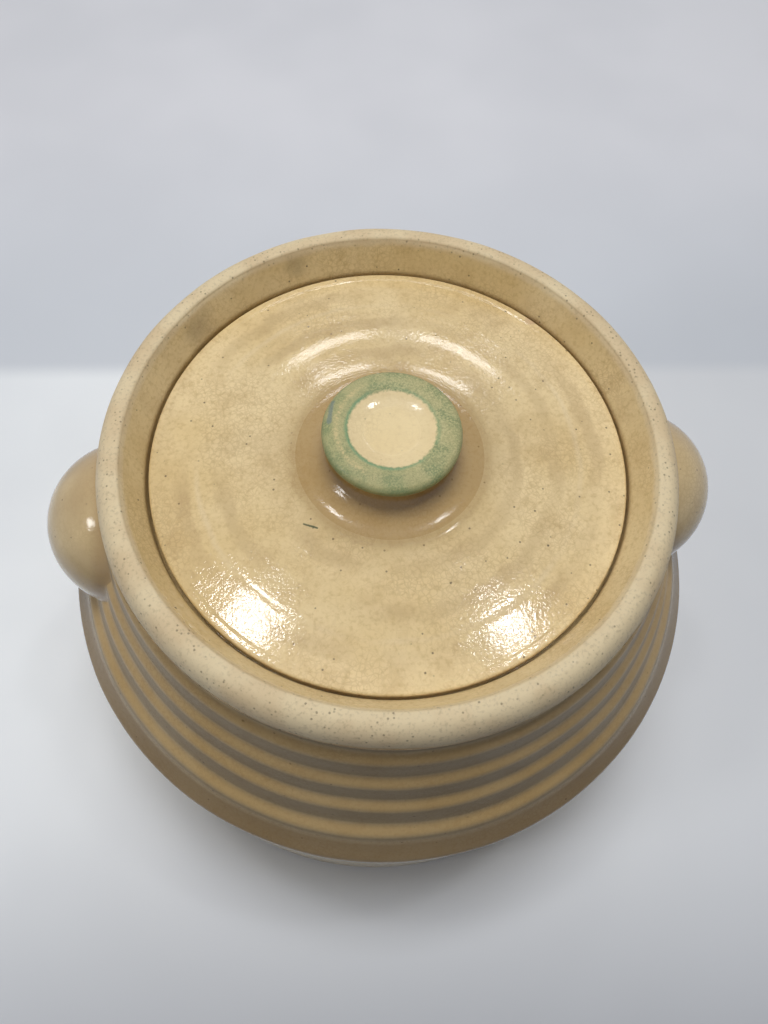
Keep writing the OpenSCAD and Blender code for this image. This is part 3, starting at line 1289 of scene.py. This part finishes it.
@dataclass
class Knob:
    """The knob: a swept neck, a rolled rim with a sponged green band and a dished top."""

    base: float
    top: float
    foot: float
    radius: float = 21.25 * MM
    neck: float = 18 * MM
    roll: float = 2.6 * MM
    crown: float = 0.6 * MM
    dish: float = 13.2 * MM
    lip: float = 15.0 * MM
    lip_drop: float = 0.5 * MM
    lip_round: float = 1.6 * MM
    dish_depth: float = 2.0 * MM
    sweep_past: float = 2.5 * MM
    faces_round: int = 128
    swell: float = 15 * MM
    hollow: float = 0.3 * MM
    ragged_size: float = 1.3 * MM
    ragged: float = 1.6 * MM
    drift_size: float = 9 * MM
    drift: float = 24 * MM
    dab_size: float = 0.6 * MM
    worn_radius: float = 16.8 * MM
    worn_half: float = 1.3 * MM
    line_half: float = 1.2 * MM
    dulling: float = 0.35
    dish_cream: Stain = Stain(srgb(240, 220, 174), 0.5)
    cream_dabs: Stain = Stain(srgb(208, 198, 148), 0.44)
    worn_cream: Stain = Stain(srgb(206, 188, 138), 0.55)
    rim_green: Stain = Stain(srgb(104, 142, 106), 0.35)
    teal_line: Stain = Stain(srgb(78, 142, 106), 0.85)
    slate_smudge: Stain = Stain(srgb(84, 110, 116), 0.6)
    smudge_start: Point = (-17.0 * MM, 10.6 * MM)
    smudge_end: Point = (-18.6 * MM, 3.6 * MM)
    smudge_half: float = 1.1 * MM
    # Brown on the neck: brown glaze and the rolled rim's painted shade
    neck_shade_and_brown: Stain = Stain(srgb(150, 116, 58), 0.7)

    def build(self) -> bpy.types.Object:
        """Throws the knob.

        Returns:
            The knob.
        """
        tall = self.foot - self.neck
        wide = tall + self.sweep_past
        outline = [(self.neck * i / 3, self.base) for i in range(0, 4)]
        for radius, height in arc((1.0, 1.0), 1.0, -90, -180, 24):
            outline.append((self.neck + wide * radius, self.base + tall * height))
        middle = (self.radius - self.roll, self.top - self.crown - self.roll)
        outline += arc(middle, self.roll, -60, 70, 18)
        edge = (self.dish, self.top - self.lip_drop)
        outline += corner(outline[-1], (self.lip, self.top), edge, self.lip_round, 8)
        for i in range(0, 20):
            share = 1 - i / 19
            outline.append((self.dish * share, edge[1] - self.dish_depth * (1 - share**3)))
        knob = throw_on_wheel("knob", outline, self.faces_round)
        waver(knob, lambda p: p.z > self.base + 3 * MM, self.swell, self.hollow)
        smooth(knob, 60.0)
        return knob

    def dress(self, knob: bpy.types.Object) -> None:
        """Glazes the knob cream, with a sponged green band over its rolled rim and a brown neck that is
        partly painted shade.

        Args:
            knob: The knob to dress.
        """
        graph = Graph("knob_glaze")
        cream = CreamGlaze().lay(graph)
        ragged = (graph.noise(self.ragged_size, 3.0) - 0.5) * self.ragged
        under = self.top - self.crown - self.roll * 1.7
        inner = graph.step(graph.r + ragged, self.dish - 0.4 * MM, self.dish + 0.5 * MM)
        outer = graph.step(graph.z + ragged, under - 0.6 * MM, under + 0.8 * MM)
        green = SpongedGreen().lay(graph, cream)
        cream = cream.stained(1.0 - inner, self.dish_cream)
        cream = cream.dulled(graph.fade(graph.r, self.dish * 0.58, self.dish * 0.70), self.dulling)
        drift = (graph.noise(self.drift_size, 2.0) - 0.5) * self.drift
        pale = 0.45 + 0.55 * graph.step(graph.x + graph.y * 0.4 + drift, -6 * MM, 14 * MM)
        flecks = graph.step(graph.noise(self.dab_size, 3.0), 0.45, 0.60)
        green = green.stained(pale * flecks, self.cream_dabs)
        left_side = graph.step(graph.x * -1.0, 5 * MM, 12 * MM)
        worn = graph.band(graph.r + ragged, self.worn_radius, self.worn_half) * left_side
        green = green.stained(worn * (0.45 + flecks), self.worn_cream)
        rim = graph.step(graph.r, self.radius - 1.6 * MM, self.radius - 0.1 * MM)
        green = green.stained(rim, self.rim_green)
        line = graph.band(graph.r + ragged * 0.5, self.dish + 0.4 * MM, self.line_half)
        line = line * (1.0 - pale * 0.6) * graph.step(graph.noise(7 * MM, 1.0), 0.34, 0.54)
        green = green.stained(line, self.teal_line)
        smudge = graph.streak(self.smudge_start, self.smudge_end, self.smudge_half)
        green = green.stained(smudge, self.slate_smudge)
        layers = cream.over(inner * outer, green)
        # Brown on the neck under the rolled rim: brown glaze and the rim's painted shade
        neck = graph.fade(graph.z + ragged, under - 1.2 * MM, under + 0.4 * MM)
        paint(knob, layers.stained(neck, self.neck_shade_and_brown).shade())


@dataclass(frozen=True)
class Lamp:
    """A soft lamp that shines at the jar, and that its glaze mirrors or not."""

    name: str
    toward: Place
    distance: float
    width: float
    length: float
    watts: float
    mirrored: bool = True

    def build(self, aim: Vector) -> None:
        """Hangs the lamp and turns it to the jar.

        Args:
            aim: The point that it shines at.
        """
        data = bpy.data.lights.new(self.name, "AREA")
        data.shape = "RECTANGLE"
        data.size = self.width
        data.size_y = self.length
        data.energy = self.watts
        lamp = bpy.data.objects.new(self.name, data)
        way = Vector(self.toward).normalized()
        lamp.location = aim + way * self.distance
        lamp.rotation_euler = way.to_track_quat("Z", "Y").to_euler()
        lamp.visible_camera = False
        lamp.visible_glossy = self.mirrored
        bpy.context.scene.collection.objects.link(lamp)


@dataclass
class Studio:
    """The pale table, the soft light and the camera."""

    camera_place: Place = (-22.0 * MM, -122.8 * MM, 374.7 * MM)
    camera_pitch: float = 64.3
    camera_roll: float = 5.0
    camera_turn: float = -10.0
    focal_pixels: float = 800.0
    sensor: float = 36.0
    table: Colour = srgb(230, 233, 238)
    # Painted light: the table is lighter towards the back and the left
    table_painted_light: Colour = srgb(247, 251, 255)
    # Painted shade of a fold across the flat table, lighter again further back
    table_fold_shade: Colour = srgb(214, 219, 227)
    table_far: Colour = srgb(236, 237, 243)
    # Painted shade: the table darkens towards the camera
    table_front_shade: Colour = srgb(172, 175, 182)
    table_cloud: Colour = srgb(206, 209, 216)
    table_size: float = 8.0
    backdrop: Colour = srgb(214, 216, 221)
    haze_from: float = 420 * MM
    haze_to: float = 1100 * MM
    fold: float = 145 * MM
    fold_turn: float = -3.6
    fold_half: float = 7 * MM
    fold_shade_reach: float = 240 * MM
    painted_light_from: float = -60 * MM
    painted_light_to: float = 260 * MM
    front_from: float = 80 * MM
    front_to: float = 230 * MM
    cloud_size: float = 120 * MM
    daylight: Colour = (0.96, 0.98, 1.0, 1.0)
    sky: float = 0.05
    ceiling: float = 0.6
    ceiling_edge: float = 0.87

    def build_table(self) -> None:
        """Lays the pale table, which fades into the backdrop further off, with painted light and shade:
        lighter to the back and the left, a painted shaded fold, and darker towards the camera.
        """
        deselect()
        bpy.ops.mesh.primitive_plane_add(size=self.table_size, location=(0.0, 0.0, 0.0))
        table = name_piece(bpy.context.object, "table")
        graph = Graph("pale_table")
        turn = math.radians(self.fold_turn)
        away = graph.y * math.cos(turn) - graph.x * math.sin(turn)
        # Painted light, lighter towards the back and the left
        painted_light = graph.step(away - graph.x, self.painted_light_from, self.painted_light_to)
        colour = graph.blend(painted_light, self.table, self.table_painted_light)
        # Painted shade of a fold across the flat table, which lightens again further back
        fold_shade_fade = graph.step(away, self.fold, self.fold + self.fold_shade_reach)
        far = graph.blend(fold_shade_fade, self.table_fold_shade, self.table_far)
        beyond = graph.step(away, self.fold - self.fold_half, self.fold + self.fold_half)
        colour = graph.blend(beyond, colour, far)
        # Painted shade, darker towards the camera
        ahead = graph.step(away * -1.0, self.front_from, self.front_to)
        colour = graph.blend(ahead, colour, self.table_front_shade)
        cloud = graph.step(graph.noise(self.cloud_size, 2.0), 0.3, 0.7)
        colour = graph.blend(cloud * 0.25, colour, self.table_cloud)
        shader = graph.node("ShaderNodeBsdfPrincipled", inputs={"Base Color": colour, "Roughness": 0.55})
        haze = graph.node("ShaderNodeEmission", inputs={"Color": self.backdrop, "Strength": 1.0})
        distant = graph.step(graph.r, self.haze_from, self.haze_to) * graph.seen()
        surfaces = {0: distant, 1: graph.out(shader), 2: graph.out(haze)}
        mixed = graph.node("ShaderNodeMixShader", inputs=surfaces)
        graph.node("ShaderNodeOutputMaterial", inputs={"Surface": graph.out(mixed)})
        paint(table, graph.material)

    def build_world(self) -> None:
        """Fills the room with soft light, brighter overhead, and shows the camera a pale backdrop."""
        world = bpy.data.worlds.new("room")
        world.use_nodes = True
        room = Nodes(world.node_tree)
        way = room.out(room.node("ShaderNodeTexCoord"), "Generated")
        upwards = room.out(room.vector("DOT_PRODUCT", {0: way, 1: (0.0, 0.0, 1.0)}), "Value")
        strength = room.step(upwards, self.ceiling_edge, 1.0) * self.ceiling + self.sky
        light = room.node("ShaderNodeBackground", inputs={"Color": self.daylight, "Strength": strength})
        shown = room.node("ShaderNodeBackground", inputs={"Color": self.backdrop})
        lights = {0: room.seen(), 1: room.out(light), 2: room.out(shown)}
        mixed = room.node("ShaderNodeMixShader", inputs=lights)
        room.node("ShaderNodeOutputWorld", inputs={"Surface": room.out(mixed)})
        bpy.context.scene.world = world

    def build_lamps(self, aim: Vector) -> None:
        """Hangs the lamps.

        Args:
            aim: The middle of the lid.
        """
        # Name, direction, distance, width and length in metres, power in watts, and whether it is mirrored
        lamps = (
            Lamp("lamp_above", (0.0, 0.12, 0.993), 1.4, 0.5, 0.5, 11.0, False),
            Lamp("lamp_left", (-0.248, 0.167, 0.954), 1.3, 0.12, 0.12, 1.2),
            Lamp("lamp_right", (0.307, 0.106, 0.946), 1.3, 0.09, 0.09, 1.0),
            Lamp("lamp_back_left", (-0.01, 0.67, 0.735), 0.9, 0.14, 0.05, 0.3),
            Lamp("lamp_back_right", (0.225, 0.645, 0.735), 0.9, 0.14, 0.05, 0.3),
            Lamp("lamp_side", (-0.792, -0.23, 0.567), 0.8, 0.13, 0.13, 0.8),
        )
        for lamp in lamps:
            lamp.build(aim)

    def build_camera(self) -> None:
        """Sets up the camera at the photograph's place, turn, pitch and roll."""
        data = bpy.data.cameras.new("camera")
        data.sensor_width = self.sensor
        data.lens = self.sensor * self.focal_pixels / PICTURE_LONG_SIDE
        data.clip_start = 0.01
        camera = bpy.data.objects.new("camera", data)
        turn = Matrix.Rotation(math.radians(self.camera_turn), 4, "Z")
        pitch = Matrix.Rotation(math.radians(90 - self.camera_pitch), 4, "X")
        roll = Matrix.Rotation(math.radians(self.camera_roll), 4, "Z")
        camera.matrix_world = Matrix.Translation(self.camera_place) @ turn @ pitch @ roll
        bpy.context.scene.collection.objects.link(camera)
        bpy.context.scene.camera = camera


def seat(piece: bpy.types.Object, body: str, node: str, slot: str) -> None:
    """Lets a piece stand for its CAD node and move with that node's body.

    Args:
        piece: The finished piece.
        body: The body that it rides on.
        node: The CAD node that it stands for.
        slot: The record's material slot, which is not used.
    """
    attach(piece, body)
    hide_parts(node)
    LOG.info("%s stands for %s on %s: %d faces", piece.name, node, body, len(piece.data.polygons))


def main() -> None:
    """Builds the jar, its lugs, the lid and the knob, and sets the scene."""
    logging.basicConfig(level=logging.INFO, format="%(message)s")
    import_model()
    bpy.context.scene.view_settings.view_transform = "Standard"
    _, jar_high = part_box("jar_body")
    lid_low, lid_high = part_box("lid")
    lug_low, lug_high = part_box("right_lug_handle")
    knob_low, knob_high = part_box("lid_knob")

    knob = Knob(knob_low.z - LAND_DROP, knob_high.z, knob_high.x)
    lid = Lid(lid_high.x, lid_low.z, knob.base, knob.foot + knob.sweep_past)
    jar = Jar(jar_high.x, jar_high.z, lid_high.x, lid_low.z, lid.edge_height)
    jar_piece = jar.build()
    jar.dress(jar_piece)
    lug = Lug(jar, lug_high.x, lug_high.z, lug_low.z)
    right = lug.build(jar_piece)
    left = lug.mirrored(right)
    lug.dress((left, right))
    lid_piece = lid.build()
    lid.dress(lid_piece)
    knob_piece = knob.build()
    knob.dress(knob_piece)

    seat(jar_piece, "jar", "jar_body", "cream_glaze")
    seat(left, "jar", "left_lug_handle", "cream_glaze")
    seat(right, "jar", "right_lug_handle", "cream_glaze")
    seat(lid_piece, "lid", "lid", "cream_glaze")
    seat(knob_piece, "lid", "lid_knob", "green_glaze")

    studio = Studio()
    studio.build_table()
    studio.build_world()
    studio.build_lamps(Vector((0.0, 0.0, lid_high.z)))
    studio.build_camera()
    deselect()


if __name__ == "__main__":
    main()
